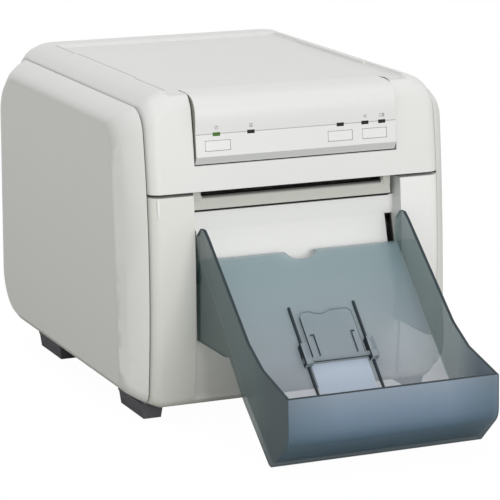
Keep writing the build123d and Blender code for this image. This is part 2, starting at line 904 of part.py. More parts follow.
def motor(at, side):
    """Square stepper motor on the drawer plate's inner face, with its corners cut."""
    outline_face = chamfer(Rectangle(motor_size, motor_size).vertices(), motor_size / 8)
    start = drawer_plate_x - motor_length if side > 0 else -drawer_plate_x
    return extrude(Plane.YZ.offset(start) * Pos(*at) * outline_face, amount=motor_length)


def motor_pinion(at, turn, side):
    """Pinion on its motor shaft, which comes through the plate."""
    shaft = rod(at, motor_shaft_radius, *sorted((side * (drawer_plate_x + running), side * gear_x)))
    return gear(at, pinion_teeth, turn, 0.0, side) + shaft


# Paper and ribbon

def paper_roll():
    """Wound paper on its bore."""
    half = paper_width / 2
    return rod(paper_at, paper_radius, -half, half) - rod(paper_at, paper_core_radius, -far, far)


def roll_holder():
    """Right flange of the roll with its hub and journal."""
    half = paper_width / 2
    rim = Plane.YZ.offset(half) * Pos(*paper_at) * RegularPolygon(paper_radius + 1.5, 48)
    holder = extrude(rim, amount=flange_thickness)
    holder += rod(paper_at, paper_core_radius, half - 14.0, half)
    return holder + rod(paper_at, paper_shaft_radius, half, drawer_plate_x + sheet)


def spool(at, outer_end):
    """Ribbon core with its journals."""
    half = ribbon_width / 2 + flange_thickness
    core = rod(at, spool_core_radius, -half, half)
    return core + rod(at, spool_shaft_radius, -drawer_plate_x - sheet, outer_end)


def ribbon(at, radius):
    """Film wound on a core."""
    half = ribbon_width / 2
    return rod(at, radius, -half, half) - rod(at, spool_core_radius, -far, far)


# Head assembly

head_front_y = platen_y - 6.0
sink_bottom_z = head_bottom_z + 11.5
sink_top_z = head_bottom_z + 33.5


def head_frame():
    """Two arms and a cross plate that swing on the pivot rod."""
    pivot_y, pivot_z = head_pivot
    front, low, top = head_front_y, head_bottom_z + 7.5, sink_top_z + 2.0
    arm = [
        (pivot_y - 10.0, pivot_z + 8.0),
        (pivot_y + 8.0, pivot_z + 8.0),
        (pivot_y + 8.0, pivot_z - 8.0),
        (pivot_y - 20.0, pivot_z - 10.0),
        (front + 14.0, low),
        (front, low),
        (front, top),
    ]
    frame = profile(arm, arm_x - head_arm_sheet, arm_x) + profile(arm, -arm_x, -arm_x + head_arm_sheet)
    frame += block((-arm_x, arm_x), (front, front + 60.0), (sink_top_z, top))
    return frame - rod(head_pivot, pivot_radius + running, -far, far)


def heat_sink():
    """Finned block below the cross plate."""
    half, depth = head_half_width, (head_front_y, head_front_y + 56.0)
    base = block((-half, half), depth, (sink_bottom_z, sink_bottom_z + 4.0))
    fins = 14
    pitch = (2 * half - 2.0) / (fins - 1)
    for number in range(fins):
        x = -half + number * pitch
        base += block((x, x + 2.0), depth, (sink_bottom_z + 4.0, sink_top_z))
    return base


def thermal_head():
    """Ceramic bar with the rounded heater line over the platen."""
    front, low = head_front_y, head_bottom_z
    points = [
        (front, sink_bottom_z),
        (front, low + 3.0),
        (platen_y - 3.0, low),
        (platen_y + 3.0, low),
        (platen_y + 12.0, low + 4.5),
        (front + 40.0, low + 4.5),
        (front + 40.0, sink_bottom_z),
    ]
    return profile(points, -head_half_width, head_half_width)


# Rear equipment


def board_shelf():
    """Steel shelf across the frame with its edges turned down."""
    shelf = block((-frame_x, frame_x), shelf_y, (shelf_z, shelf_z + sheet))
    for side in (-1, 1):
        x = sorted((side * frame_x, side * (frame_x - sheet)))
        shelf += block(x, shelf_y, (shelf_z - 10.0, shelf_z))
    return shelf


def main_board():
    """Board on four hexagonal posts with chips, capacitors and a heat spreader."""
    z, top = shelf_z + sheet, board_top_z
    half, front = frame_x - 16.0, shelf_y[0] + 6.0
    board = block((-half, half), (front, board_rear_y), (z + board_gap, top))
    for x in (-half + 6.0, half - 6.0):
        for y in (front + 4.0, board_rear_y - 4.0):
            board += extrude(Plane.XY.offset(z) * Pos(x, y) * RegularPolygon(3.0, 6), amount=board_gap)
    board += block((-40.0, -14.0), (front + 22.0, front + 48.0), (top, top + 2.4))
    board += block((4.0, 22.0), (front + 14.0, front + 28.0), (top, top + 2.0))
    board += block((-84.0, -60.0), (front + 12.0, front + 20.0), (top, top + 8.0))
    for number in range(2):
        board += Pos(52.0 + number * 12.0, front + 20.0, top + 6.0) * Cylinder(4.5, 12.0)
    return board


def data_socket():
    """Square metal shell with its plastic tongue."""
    (x, z), (w, h) = data_at, data_size
    depth = (board_rear_y - 8.0, rear_y + 0.6)
    shell = block((x - w / 2, x + w / 2), depth, (z - h / 2, z + h / 2))
    shell -= block((x - w / 2 + 1, x + w / 2 - 1), (depth[0] + 6.0, far), (z - h / 2 + 1, z + h / 2 - 1))
    return shell + block((x - 2.5, x + 2.5), (depth[0] + 6.0, depth[1] - 2.0), (z + 0.6, z + 3.0))


def power_inlet():
    """Mains inlet body with its chamfered well and three flat pins."""
    (x, z), (w, h) = inlet_at, inlet_size
    body = block((x - w / 2, x + w / 2), (rear_y - 24.0, rear_y), (z - h / 2, z + h / 2))
    body += block((x - w / 2 - 2, x + w / 2 + 2), (rear_y, rear_y + 1.6), (z - h / 2 - 2, z + h / 2 + 2))
    well = [(-11.5, -7.0), (11.5, -7.0), (11.5, 3.0), (7.5, 7.0), (-7.5, 7.0), (-11.5, 3.0)]
    face = make_face(Polyline(*well, close=True))
    cut = extrude(Plane.XZ.offset(-rear_y - 5.0) * Pos(x, z) * face, amount=22.0)
    body -= cut
    for dx, dz in ((-7.0, -1.5), (0.0, 2.0), (7.0, -1.5)):
        body += block((x + dx - 1, x + dx + 1), (rear_y - 18.0, rear_y - 4.0), (z + dz - 2.2, z + dz + 2.2))
    return body


supply_box_z = (52.0, 142.0)


def power_supply():
    """Vented steel box on a cross plate between the frame plates."""
    front, rear = drawer_rear_y + 4.0, rear_y - 23.0
    low_x, high_x = -frame_x + 16.0, frame_x - 56.0
    low_z, high_z = supply_box_z
    box = block((low_x, high_x), (front, rear), supply_box_z)
    inside_z = (low_z + sheet, high_z - sheet)
    box -= block((low_x + sheet, high_x - sheet), (front + sheet, rear - sheet), inside_z)
    box += block((-frame_x, frame_x), (front, front + sheet), (low_z - 22.0, high_z + 8.0))
    for number in range(6):
        z = low_z + 15.0 + number * 12.0
        box -= block((low_x + 14.0, high_x - 14.0), (rear - 2 * sheet, rear + 1.0), (z - 2.0, z + 2.0))
    return box


fan_depth = 18.0
fan_rear_y = rear_y - wall
fan_front_y = fan_rear_y - fan_depth


def fan_frame():
    """Square frame with its round duct, motor plate and three struts."""
    x, z = fan_at
    duct = round_bar((x, z), fan_radius, fan_front_y - 1, fan_rear_y + 1)
    body = block((x - 30, x + 30), (fan_front_y, fan_rear_y), (z - 30, z + 30)) - duct
    body += round_bar((x, z), 12.0, fan_front_y, fan_front_y + 2.0)
    for turn in (90.0, 210.0, 330.0):
        strut = Pos(x, fan_front_y + 1.0, z) * Rot(0, turn, 0) * Pos(fan_radius / 2 + 6.0, 0, 0)
        body += strut * Box(fan_radius - 8.0, 2.0, 3.0)
    return body


def fan_rotor():
    """Hub with five tilted blades."""
    x, z = fan_at
    front = fan_front_y + 2.3
    rotor = peg(x, z, 11.0, front, front + 12.0)
    blades = 5
    for number in range(blades):
        blade = Pos(18.0, 0, 0) * Rot(35.0, 0, 0) * Box(15.4, 1.4, 12.0)
        rotor += Pos(x, front + 6.5, z) * Rot(0, number * 360.0 / blades, 0) * blade
    return rotor


def panel_screws():
    """Slotted screws that hold the rear panel."""
    screws = []
    for x, z in screw_places:
        screw = screw_bar((x, z), screw_head_radius, rear_y, rear_y + screw_head_height)
        screw += screw_bar((x, z), screw_radius, rear_y - wall - 1.5, rear_y)
        slot = block((x - 0.5, x + 0.5), (rear_y + 1.0, rear_y + 3.0), (z - 2.6, z + 2.6))
        screws.append(screw - slot)
    return Compound(children=screws)


# Print tray

def parallel(points, gap):
    """The polyline that runs beside another at one distance, on its right."""
    lines = []
    for (y0, z0), (y1, z1) in zip(points, points[1:]):
        run = math.hypot(y1 - y0, z1 - z0)
        shift = (gap * (z1 - z0) / run, -gap * (y1 - y0) / run)
        lines.append(((y0 + shift[0], z0 + shift[1]), (y1 + shift[0], z1 + shift[1])))
    moved = [lines[0][0]]
    for (a, b), (c, d) in zip(lines, lines[1:]):
        cross = (b[0] - a[0]) * (d[1] - c[1]) - (b[1] - a[1]) * (d[0] - c[0])
        share = ((c[0] - a[0]) * (d[1] - c[1]) - (c[1] - a[1]) * (d[0] - c[0])) / cross
        moved.append((a[0] + share * (b[0] - a[0]), a[1] + share * (b[1] - a[1])))
    return moved + [lines[-1][1]]


def softened(face, corners):
    """A flat face with chosen corners rounded."""
    for (y, z), radius in corners:
        face = fillet(face.vertices().sort_by_distance((y, z, 0))[0], radius)
    return face


def slab(face, half_x):
    """A solid of a Y-Z face between two mirrored values of X."""
    return extrude(Plane.YZ.offset(-half_x) * face, amount=2 * half_x)


tray_inner = parallel(tray_path, tray_wall)
slope_run = math.hypot(tray_path[1][0] - tray_path[0][0], tray_path[1][1] - tray_path[0][1])
slope_down = ((tray_path[1][0] - tray_path[0][0]) / slope_run, (tray_path[1][1] - tray_path[0][1]) / slope_run)


def on_slope(s, height=0.0):
    """Plane on the tray floor: X across, Y up the slope, Z off the floor."""
    down_y, down_z = slope_down
    y = tray_inner[0][0] + s * down_y + height * down_z
    z = tray_inner[0][1] + s * down_z - height * down_y
    return Plane(origin=(0, y, z), x_dir=(1, 0, 0), z_dir=(0, down_z, -down_y))


def tray():
    """Clear tray: cheeks with hooks and gussets, sloped floor, curved front."""
    top, bend, heel, toe, lip = tray_path
    underside = top[1] + (gusset_front_y - top[0]) * slope_down[1] / slope_down[0]
    knee, brow = (-97.0, 85.0), (-22.0, ear_z - 5.0)
    side = [
        (-0.5, recess_top_z - 46.0),
        (-1.5, recess_top_z - 16.0),
        (-9.0, ear_z),
        (-15.0, ear_z),
        brow,
        knee,
        (-122.0, 72.0),
        lip,
        toe,
        heel,
        bend,
        (gusset_front_y, underside),
        (gusset_front_y + 10.0, gusset_z),
        (front_y(gusset_z) + 2.5 - tray_gap, gusset_z),
    ]
    corners = [(bend, tray_bends[0]), (heel, tray_bends[1]), (toe, tray_bends[2]), (knee, 30.0), (brow, 6.0)]
    cheeks = slab(softened(make_face(Polyline(*side, close=True)), corners), tray_half_width)
    inner_top, inner_bend, inner_heel, inner_toe, inner_lip = tray_inner
    room = [inner_top, inner_bend, inner_heel, inner_toe, inner_lip, (inner_lip[0], far), (60.0, far)]
    room.append((60.0, inner_top[1]))
    rounds = [(inner_bend, tray_bends[0] - tray_wall), (inner_heel, tray_bends[1] - tray_wall + 1.0)]
    rounds.append((inner_toe, tray_bends[2] - tray_wall))
    inside = tray_half_width - tray_wall
    body = cheeks - slab(softened(make_face(Polyline(*room, close=True)), rounds), inside)
    under = [top, (gusset_front_y, underside), (gusset_front_y, 50.0), (60.0, 50.0), (60.0, top[1])]
    body -= slab(make_face(Polyline(*under, close=True)), inside)
    notch = Plane.XZ.offset(-10.0) * Pos(0, top[1] + 2.0) * Ellipse(notch_width / 2, notch_depth + 1.5)
    body -= extrude(notch, amount=30.0)
    hook = [
        (-1.0, hook_slot_z[0] + 0.3),
        (hook_nose[0], hook_slot_z[0] + 0.3),
        (hook_nose[0], hook_nose_z),
        (hook_nose[1], hook_nose_z),
        (hook_nose[1], hook_top_z),
        (-1.0, hook_top_z),
    ]
    for side_sign in (-1, 1):
        x = sorted((side_sign * tray_half_width, side_sign * (tray_half_width - tray_wall)))
        body += profile(hook, *x)
        rib_box = Pos(side_sign * channel_half_width, 0) * Box(rib_width, 78.0, rib_height)
        rib = on_slope(87.0, rib_height / 2) * rib_box
        body += rib
        ear_box = Pos(side_sign * (channel_half_width + 0.2), 0) * Box(5.6, 18.0, 7.0)
        ear = on_slope(flap_hinge_s - 4.0, 3.0) * ear_box
        body += ear
    pin = on_slope(flap_hinge_s, flap_lift) * Rot(0, 90, 0) * Cylinder(pin_radius + running, 80.0)
    return body - pin


def stopper_flap():
    """Flap that lies in the channel and stands up to stop a short print."""
    plane = on_slope(flap_hinge_s, flap_lift)
    half = flap_half_width
    top = flap_length
    dip = top - 2.6
    edge = [
        Line((-half, top - 4.0), (-half + 4.0, top)),
        Line((-half + 4.0, top), (-12.0, top)),
        ThreePointArc((-12.0, top), (-3.5, dip), (5.0, top)),
        Line((5.0, top), (half - 3.0, top)),
        Line((half - 3.0, top), (half, top - 3.0)),
    ]
    sides = Polyline((half, top - 3.0), (half, 0.0), (-half, 0.0), (-half, top - 4.0))
    face = make_face(Curve() + edge + list(sides.edges()))
    plate = extrude(plane.offset(-flap_thickness / 2) * face, amount=flap_thickness)
    for side_sign in (-1, 1):
        plate -= plane * Pos(side_sign * 15.6, 11.5) * Box(0.9, 18.0, 8.0)
        plate -= plane * Pos(side_sign * 16.8, 20.5) * Box(3.2, 0.9, 8.0)
    barrel = plane * Rot(0, 90, 0) * Cylinder(pin_radius, 2 * half)
    pins = plane * Rot(0, 90, 0) * Cylinder(pin_radius, 2 * (channel_half_width + 1.5))
    return plate + barrel + pins


# Write every piece, with the origin in the middle of the footprint

tray_solid = tray()
origin_y = (tray_solid.bounding_box().min.Y + rear_y + screw_head_height) / 2

write("top_cover", top_cover())
write("control_panel", control_panel())
write("panel_board", panel_board())
for name, x in zip(("power_button", "left_button", "right_button"), button_x):
    write(name, push_button(x))
write("power_lamp_lens", lamp_lens(lamp_x[0]))
write("signal_lamp_lenses", Compound(children=[lamp_lens(x) for x in lamp_x[1:]]))
write("drawer_front", drawer_front())
write("exit_guide", exit_guide())
write("right_side_panel", side_panel())
write("left_side_panel", mirror(side_panel(), about=Plane.YZ))
write("rear_panel", rear_panel())
write("base_pan", base_pan())
feet = [foot(x, y) for x in (-foot_centre_x, foot_centre_x) for y in foot_centres_y]
write("rubber_feet", Compound(children=feet))
write("right_frame_plate", frame_plate())
write("left_frame_plate", mirror(frame_plate(), about=Plane.YZ))
write("front_bridge", front_bridge())
write("fixed_blade", fixed_blade())
write("cutter_rod", rod((cutter_rod_y, cutter_rod_z), cutter_rod_radius, -frame_x, frame_x))
write("cutter_carriage", cutter_carriage())
write("round_blade", round_blade())
write("pinch_bracket", pinch_bracket())
write("pinch_roller", pinch_roller())
write("outer_slides", pair(slide_outer()))
write("middle_slides", pair(slide_middle()))
write("inner_slides", pair(slide_inner()))
write("right_drawer_plate", drawer_plate(ribbon_motor_at))
idler_post = rod(idler_at, shaft_radius, -gear_x - gear_width / 2 - 0.4, -drawer_plate_x)
write("left_drawer_plate", mirror(drawer_plate(feed_motor_at), about=Plane.YZ) + idler_post)
write("drawer_pan", drawer_pan())
bushes = [roller_bush(at, side) for at in (platen_at, capstan_at) for side in (-1, 1)]
write("roller_bushes", Compound(children=bushes))
write("platen_roller", platen_roller())
write("capstan_roller", capstan_roller())
write("capstan_gear", gear(capstan_at, capstan_teeth, idler_angle, shaft_radius, -1))
write("idler_gear", gear(idler_at, idler_teeth, idler_turn, shaft_radius + running, -1))
write("feed_motor", motor(feed_motor_at, -1))
feed_turn = mating_turn(idler_turn, idler_teeth, pinion_teeth, feed_angle)
write("feed_pinion", motor_pinion(feed_motor_at, feed_turn, -1))
write("ribbon_motor", motor(ribbon_motor_at, 1))
write("ribbon_pinion", motor_pinion(ribbon_motor_at, facing_gap(pinion_teeth, ribbon_angle + 180.0), 1))
write("take_up_spool", spool(take_up_at, gear_x + gear_width / 2 + 1.0))
write("take_up_ribbon", ribbon(take_up_at, take_up_radius))
write("take_up_gear", gear(take_up_at, take_up_teeth, ribbon_angle, spool_shaft_radius, 1))
write("supply_spool", spool(supply_at, drawer_plate_x + sheet))
write("supply_ribbon", ribbon(supply_at, supply_radius))
write("paper_roll", paper_roll())
write("roll_holders", pair(roll_holder()))
write("head_frame", head_frame())
write("head_pivot_rod", rod(head_pivot, pivot_radius, -frame_x, frame_x))
write("heat_sink", heat_sink())
write("thermal_head", thermal_head())
write("board_shelf", board_shelf())
write("main_board", main_board())
write("data_socket", data_socket())
write("power_inlet", power_inlet())
write("power_supply", power_supply())
write("fan_frame", fan_frame())
write("fan_rotor", fan_rotor())
write("print_tray", tray_solid)
write("stopper_flap", stopper_flap())
write("rear_screws", panel_screws())
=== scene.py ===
import json
import math

import bmesh
import bpy
from mathutils import Matrix, Vector
from mathutils.bvhtree import BVHTree

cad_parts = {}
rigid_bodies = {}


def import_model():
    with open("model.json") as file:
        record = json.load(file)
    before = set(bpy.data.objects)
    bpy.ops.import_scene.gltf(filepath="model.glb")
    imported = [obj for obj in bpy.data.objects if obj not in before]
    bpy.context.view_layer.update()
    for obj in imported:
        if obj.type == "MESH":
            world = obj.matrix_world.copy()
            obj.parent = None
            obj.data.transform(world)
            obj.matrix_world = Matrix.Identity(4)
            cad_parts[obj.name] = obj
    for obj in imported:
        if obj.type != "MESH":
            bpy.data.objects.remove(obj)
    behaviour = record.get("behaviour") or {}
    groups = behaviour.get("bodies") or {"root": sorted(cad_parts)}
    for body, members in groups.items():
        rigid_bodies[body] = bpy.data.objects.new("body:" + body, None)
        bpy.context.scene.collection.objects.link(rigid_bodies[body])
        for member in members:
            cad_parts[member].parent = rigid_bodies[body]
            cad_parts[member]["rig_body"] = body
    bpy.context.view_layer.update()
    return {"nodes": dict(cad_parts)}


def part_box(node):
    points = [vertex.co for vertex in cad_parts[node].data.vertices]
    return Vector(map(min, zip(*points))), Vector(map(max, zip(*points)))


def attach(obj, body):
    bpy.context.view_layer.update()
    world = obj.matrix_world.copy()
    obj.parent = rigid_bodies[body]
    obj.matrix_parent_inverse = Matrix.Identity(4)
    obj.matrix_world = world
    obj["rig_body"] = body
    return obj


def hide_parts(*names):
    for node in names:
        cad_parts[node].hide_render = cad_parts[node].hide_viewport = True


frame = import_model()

# Photo printer: the looks of its mouldings, metal work, rollers and clear tray.
# Metres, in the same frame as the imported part.

nodes = frame["nodes"]

front = -0.07293  # Y of the case's front face
hood_half = 0.084  # X of the hood's ends, and of the sides of the recess under it
hood_crease = 0.2225  # Z of the crease along the hood
hood_chin = 0.2056  # Z below which the hood carries painted shade
hood_top = 0.252  # Z of the hood's top edge
recess_top = 0.1636  # Z of the sloping face over the recess in the lower front
flap_pin = Vector((0.0, front - 0.0727, 0.0579))  # the pin that the tray's flap turns on
floor_head = Vector((0.0, front - 0.0058, 0.1253))  # upper end of the tray's sloped floor
down_floor = Vector((0.0, -0.7046, -0.7096))  # direction down that floor
off_floor = Vector((0.0, -0.7096, 0.7046))  # direction straight out of that floor
weld_reach = 0.000002  # corners closer than this are one corner


# Camera and lamps

def place_camera():
    """The photograph's viewpoint: long lens, a little above, from the left front."""
    place = (-0.82411, -1.84473, 0.58330)
    yaw, pitch, lean = -23.865, 13.146, 0.117  # degrees
    lens = bpy.data.cameras.new("photo_camera")
    lens.lens = 187.66
    lens.sensor_width = 36.0
    lens.clip_start = 0.05
    lens.clip_end = 60.0
    camera = bpy.data.objects.new("photo_camera", lens)
    bpy.context.scene.collection.objects.link(camera)
    heading = Matrix.Rotation(math.radians(yaw), 4, "Z")
    tilt = Matrix.Rotation(math.radians(90.0 - pitch), 4, "X")
    roll = Matrix.Rotation(math.radians(lean), 4, "Z")
    camera.matrix_world = Matrix.Translation(place) @ heading @ tilt @ roll
    bpy.context.scene.camera = camera


def soft_lamp(name, place, aim, size, power):
    """A square white studio lamp turned towards a point."""
    data = bpy.data.lights.new(name, "AREA")
    data.size = size
    data.energy = power
    lamp = bpy.data.objects.new(name, data)
    lamp.location = place
    lamp.rotation_euler = (Vector(aim) - Vector(place)).to_track_quat("-Z", "Y").to_euler()
    bpy.context.scene.collection.objects.link(lamp)


# Shader maths

class Link:
    """One output of a shader node, which takes part in sums as a number does."""

    def __init__(self, finish, socket):
        self.finish = finish
        self.socket = socket

    def maths(self, operation, first, second):
        return self.finish.node("ShaderNodeMath", {"operation": operation}, {0: first, 1: second})

    def __add__(self, other):
        return self.maths("ADD", self, other)

    __radd__ = __add__

    def __mul__(self, other):
        return self.maths("MULTIPLY", self, other)

    __rmul__ = __mul__

    def __sub__(self, other):
        return self.maths("SUBTRACT", self, other)

    def __rsub__(self, other):
        return self.maths("SUBTRACT", other, self)

    def __truediv__(self, other):
        return self.maths("DIVIDE", self, other)

    def __pow__(self, other):
        return self.maths("POWER", self, other)

    def __gt__(self, other):
        return self.maths("GREATER_THAN", self, other)


class Finish:
    """A material built node by node round one Principled shader."""

    def __init__(self, name, **constants):
        self.material = bpy.data.materials.new(name)
        self.material.use_nodes = True
        self.tree = self.material.node_tree
        self.shader = self.tree.nodes["Principled BSDF"]
        for socket, value in constants.items():
            self.shader.inputs[socket.replace("_", " ")].default_value = value

    def node(self, kind, settings=None, inputs=None, output=0):
        """Adds one node: its settings first, then its socket values or links."""
        made = self.tree.nodes.new(kind)
        for name, value in (settings or {}).items():
            if name == "stops":
                ramp = made.color_ramp
                while len(ramp.elements) < len(value):
                    ramp.elements.new(0.5)
                for element, (position, colour) in zip(ramp.elements, value):
                    element.position = position
                    element.color = colour
            else:
                setattr(made, name, value)
        for name, value in (inputs or {}).items():
            self.set(made.inputs[name], value)
        return Link(self, made.outputs[output])

    def set(self, socket, value):
        if isinstance(value, Link):
            self.tree.links.new(value.socket, socket)
        else:
            socket.default_value = value

    def feed(self, **values):
        """Joins values that vary over the surface to the shader."""
        for name, value in values.items():
            self.set(self.shader.inputs[name.replace("_", " ")], value)
        return self

    def place(self):
        """Where a point lies on the piece."""
        return self.node("ShaderNodeTexCoord", output="Object")

    def along(self, letter):
        """One coordinate of a point on the piece."""
        return self.node("ShaderNodeSeparateXYZ", None, {"Vector": self.place()}, output=letter)

    def rise(self, value, start, end):
        """A share that goes from 0 at start to 1 at end."""
        return self.node("ShaderNodeMapRange", None, {"Value": value, "From Min": start, "From Max": end})

    def across(self):
        """How far a point lies from the middle of the width, to either side."""
        return self.node("ShaderNodeMath", {"operation": "ABSOLUTE"}, {0: self.along("X")})

    def close_to(self, value, centre, reach):
        """1 where a value lies within reach of a centre, otherwise 0."""
        return self.node("ShaderNodeMath", {"operation": "COMPARE"}, {0: value, 1: centre, 2: reach})

    def noise(self, scale, detail=2.0, where=None):
        """Soft random clouds: a larger scale makes them smaller."""
        inputs = {"Vector": where or self.place(), "Scale": scale, "Detail": detail, "Roughness": 0.5}
        return self.node("ShaderNodeTexNoise", None, inputs)

    def mix(self, share, first, second):
        """A colour between two others."""
        inputs = {"Factor": share, 6: first, 7: second}
        return self.node("ShaderNodeMix", {"data_type": "RGBA"}, inputs, output=2)

    def bump(self, height, depth):
        """Surface relief whose depth is in metres."""
        return self.node("ShaderNodeBump", None, {"Height": height, "Distance": depth, "Strength": 1.0})

    def clouded(self, colour, low=0.975, high=1.02, detail=3.0):
        """A colour with faint broad clouds, as moulded plastic has."""
        return self.mix(self.noise(9.0, detail), shade(colour, low), shade(colour, high))

    def eroded(self, colour, roughness, relief=0.000012):
        """Puts a colour on and gives it a spark-eroded mould's fine even grain."""
        fine = self.noise(1800.0)
        self.feed(Base_Color=colour, Roughness=roughness + (fine - 0.5) * 0.16)
        return self.feed(Normal=self.bump(fine, relief)).material


def rgb(red, green, blue):
    return (red, green, blue, 1.0)


def shade(colour, factor):
    """A darker or paler version of a colour."""
    return tuple(min(1.0, channel * factor) for channel in colour[:3]) + (1.0,)


# Finishes

def moulded(name, colour, roughness, relief=0.000012, index=1.5, foot_shade_tone=1.0):
    """Plastic out of a spark-eroded mould and, where asked, with painted shade that darkens it towards the
    floor.
    """
    shade_from, shade_full = 0.19, 0.02
    finish = Finish(name, IOR=index)
    colour_now = finish.clouded(colour)
    if foot_shade_tone < 1.0:
        # Painted shade: darker towards the floor.
        shade_at_foot = finish.rise(finish.along("Z"), shade_from, shade_full)
        colour_now = finish.mix(shade_at_foot, colour_now, shade(colour, foot_shade_tone))
    return finish.eroded(colour_now, roughness, relief)


def hood_moulded(name, colour):
    """The hood's smoother plastic with painted shade in a fine line along its crease, over a fine groove in
    its relief, and painted shade on its chin.
    """
    line_half, chin_fade = 0.00033, 0.0004
    finish = Finish(name)
    fine = finish.noise(2200.0)
    height = finish.along("Z")
    # Painted shade along the crease; the bump below also cuts a matching fine groove.
    line = finish.close_to(height, hood_crease, line_half)
    # Painted shade on the chin, which faces down.
    below = finish.rise(height, hood_chin, hood_chin - chin_fade)
    plain = finish.mix(below, finish.clouded(colour, 0.98, 1.015), shade(colour, 0.84))
    roughness = 0.36 + (fine - 0.5) * 0.16
    finish.feed(Base_Color=finish.mix(line, plain, shade(colour, 0.52)), Roughness=roughness)
    return finish.feed(Normal=finish.bump(fine - line * 2.0, 0.000006)).material


def metal(name, colour, roughness, along):
    """Rolled sheet: streaks along one axis and a light bloom."""
    finish = Finish(name, Metallic=1.0)
    long, short = 8.0, 900.0
    stretch = {"X": (long, short, short), "Y": (short, long, short)}[along]
    streaked = finish.node("ShaderNodeMapping", None, {"Vector": finish.place(), "Scale": stretch})
    streak = finish.noise(1.0, 3.0, where=streaked)
    bloom = finish.noise(22.0, 4.0)
    colour_now = finish.mix(bloom, shade(colour, 0.88), shade(colour, 1.06))
    finish.feed(Base_Color=colour_now, Roughness=roughness + (streak - 0.5) * 0.22)
    return finish.feed(Normal=finish.bump(streak, 0.000006)).material


def rubber(name, colour, roughness=0.72):
    """Matt rubber with dust in its pores."""
    finish = Finish(name)
    pores = finish.noise(1400.0, 3.0)
    dust = finish.noise(40.0, 4.0)
    colour_now = finish.mix(dust ** 2.0, colour, shade(colour, 1.6))
    finish.feed(Base_Color=colour_now, Roughness=roughness + (pores - 0.5) * 0.2)
    return finish.feed(Normal=finish.bump(pores, 0.00002)).material


def axis_of(node):
    """Middle of a round CAD piece that lies along X."""
    low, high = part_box(node)
    return tuple((low + high) / 2)


def wound(name, colour, edge_colour, node, pitch):
    """Paper or film wound on a core: fine rings on the ends, plain round the outside."""
    finish = Finish(name, Roughness=0.45)
    points = {0: finish.place(), 1: axis_of(node)}
    apart = finish.node("ShaderNodeVectorMath", {"operation": "SUBTRACT"}, points)
    flat = finish.node("ShaderNodeVectorMath", {"operation": "MULTIPLY"}, {0: apart, 1: (0.0, 1.0, 1.0)})
    radius = finish.node("ShaderNodeVectorMath", {"operation": "LENGTH"}, {0: flat}, output="Value")
    rings = finish.node("ShaderNodeMath", {"operation": "PINGPONG"}, {0: radius, 1: pitch})
    ring = rings / pitch
    uneven = finish.noise(60.0)
    finish.feed(Base_Color=finish.mix(ring * uneven * 1.3, colour, edge_colour))
    return finish.feed(Normal=finish.bump(ring, 0.00003)).material


def circuit_board(name):
    """Green lacquer over copper tracks."""
    finish = Finish(name, Roughness=0.35)
    cells = finish.node("ShaderNodeTexBrick", {"offset": 0.35}, {
        "Vector": finish.place(), "Scale": 90.0,
        "Brick Width": 0.8, "Row Height": 0.14, "Mortar Size": 0.03,
        "Color1": rgb(0.02, 0.11, 0.06), "Color2": rgb(0.02, 0.14, 0.07),
        "Mortar": rgb(0.06, 0.24, 0.13),
    })
    return finish.feed(Base_Color=cells).material


def lens_plastic(name, colour, glow):
    """The lens of a lamp that is lit."""
    finish = Finish(name, Base_Color=colour, Roughness=0.35, IOR=1.3, Emission_Strength=0.02)
    return finish.feed(Emission_Color=glow).material


def smoke_plastic(name, density):
    """Smoke-blue clear plastic, denser edge-on, its colour with painted light and shade: the front wall pale
    and blue near its top, deep blue at its foot where it curves under, the floor paler low down, the cheeks'
    outer faces darker than their inner ones.
    """
    cheek_face, cheek_middle = 0.0822, 0.0845  # X, from the middle to either side
    wall_plain, wall_end = 0.045, 0.084
    corner_from, corner_full = 0.0838, 0.0850
    wall_start, wall_full = front - 0.106, front - 0.140  # Y
    wall_foot, wall_top = 0.004, 0.062  # Z
    floor_low, floor_high = 0.03, 0.115
    finish = Finish(name, Roughness=0.16, IOR=1.56)
    height = finish.along("Z")
    across = finish.across()
    ahead = finish.rise(finish.along("Y"), wall_start, wall_full)
    outside = across > cheek_middle

    # Painted light and shade: the front wall paler towards its top and dark towards its foot.
    up_wall = finish.rise(height, wall_foot, wall_top)
    wall = finish.node("ShaderNodeValToRGB", {"stops": [
        (0.0, rgb(0.022, 0.056, 0.078)), (0.35, rgb(0.080, 0.145, 0.215)),
        (0.75, rgb(0.205, 0.285, 0.385)), (1.0, rgb(0.290, 0.355, 0.440)),
    ]}, {"Fac": up_wall}, output="Color")
    to_ends = finish.rise(across, wall_plain, wall_end) * 0.45
    wall = finish.mix(to_ends, wall, rgb(0.060, 0.100, 0.128))
    in_corner = finish.rise(across, corner_from, corner_full) * 0.75
    wall = finish.mix(in_corner, wall, rgb(0.025, 0.040, 0.048))

    # Painted light: the floor paler low down and tealer higher up.
    up_floor = finish.rise(height, floor_low, floor_high)
    floor = finish.mix(up_floor, rgb(0.430, 0.460, 0.520), rgb(0.320, 0.455, 0.490))
    floor = finish.mix(finish.noise(9.0) * 0.35, floor, rgb(0.34, 0.38, 0.42))

    # Painted shade: the cheeks' outer faces darker than their inner ones.
    outer = finish.mix(ahead, rgb(0.045, 0.090, 0.092), rgb(0.045, 0.080, 0.100))
    inner = finish.mix(ahead, rgb(0.225, 0.335, 0.340), wall)
    cheek = finish.mix(outside, inner, outer)
    between = finish.mix(ahead, floor, wall)
    finish.feed(Base_Color=finish.mix(across > cheek_face, between, cheek))

    dense = ahead * (0.80 - density) + density
    dense = dense + outside * (1.0 - dense) * 0.35
    rim = finish.node("ShaderNodeLayerWeight", None, {"Blend": 0.35}, output="Facing")
    return finish.feed(Alpha=dense + (rim ** 2.5) * (1.0 - dense) * 0.9).material


def smoke_edge(name):
    """The same plastic looked at through its whole width: nearly black."""
    finish = Finish(name, Roughness=0.55, IOR=1.25)
    tone = finish.mix(finish.noise(30.0), rgb(0.030, 0.042, 0.050), rgb(0.040, 0.055, 0.065))
    return finish.feed(Base_Color=tone).material


